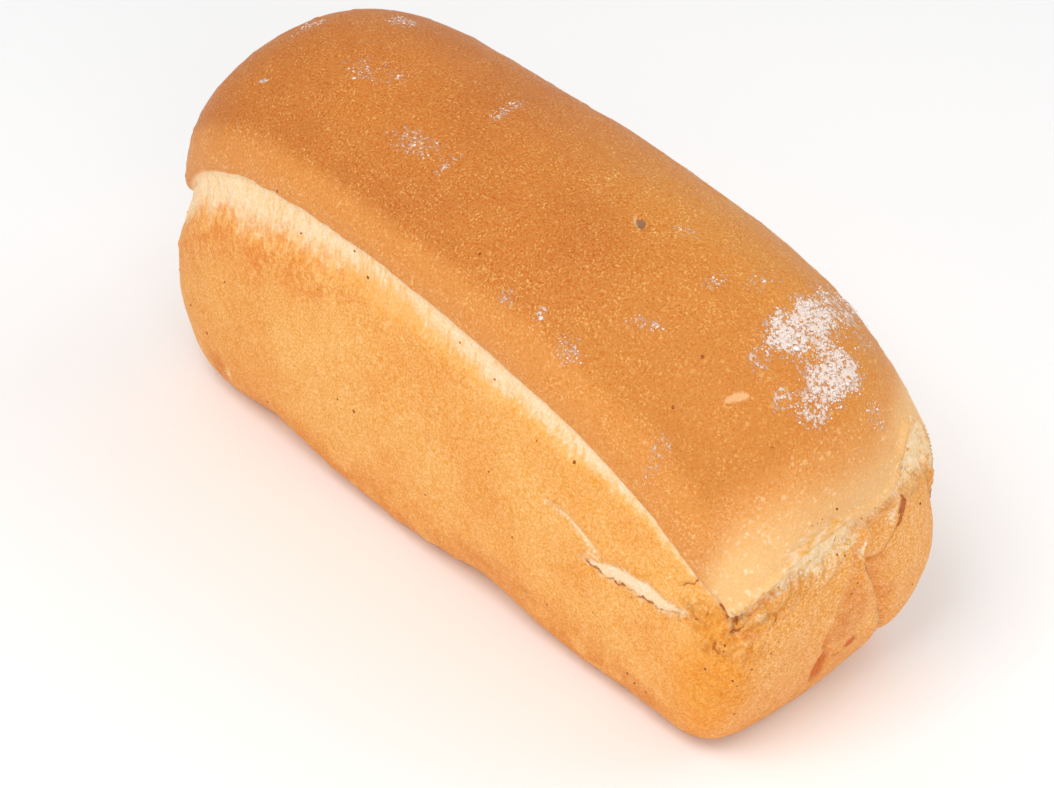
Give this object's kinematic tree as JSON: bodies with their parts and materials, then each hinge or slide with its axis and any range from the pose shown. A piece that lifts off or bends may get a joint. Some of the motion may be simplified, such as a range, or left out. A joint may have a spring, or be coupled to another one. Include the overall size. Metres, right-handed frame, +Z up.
{
  "type": "tin loaf",
  "caption": "Whole uncut white tin loaf: domed golden crust with a lip over a pale break, slightly bellied sides and a folded, lobed low end on a flat base.",
  "frame": {"origin": "middle of the loaf's box in plan, on the flat base it stands on", "axes": "+X along the loaf towards its low, folded end; -Y out of the long side wall with the tear; +Z up"},
  "size_m": [0.2846, 0.1094, 0.1462],
  "materials": {
    "crust": "satin golden brown bread crust, paler down the sides and cream at the break"
  },
  "bodies": {
    "root": {"loaf": "crust"}
  },
  "joints": []
}
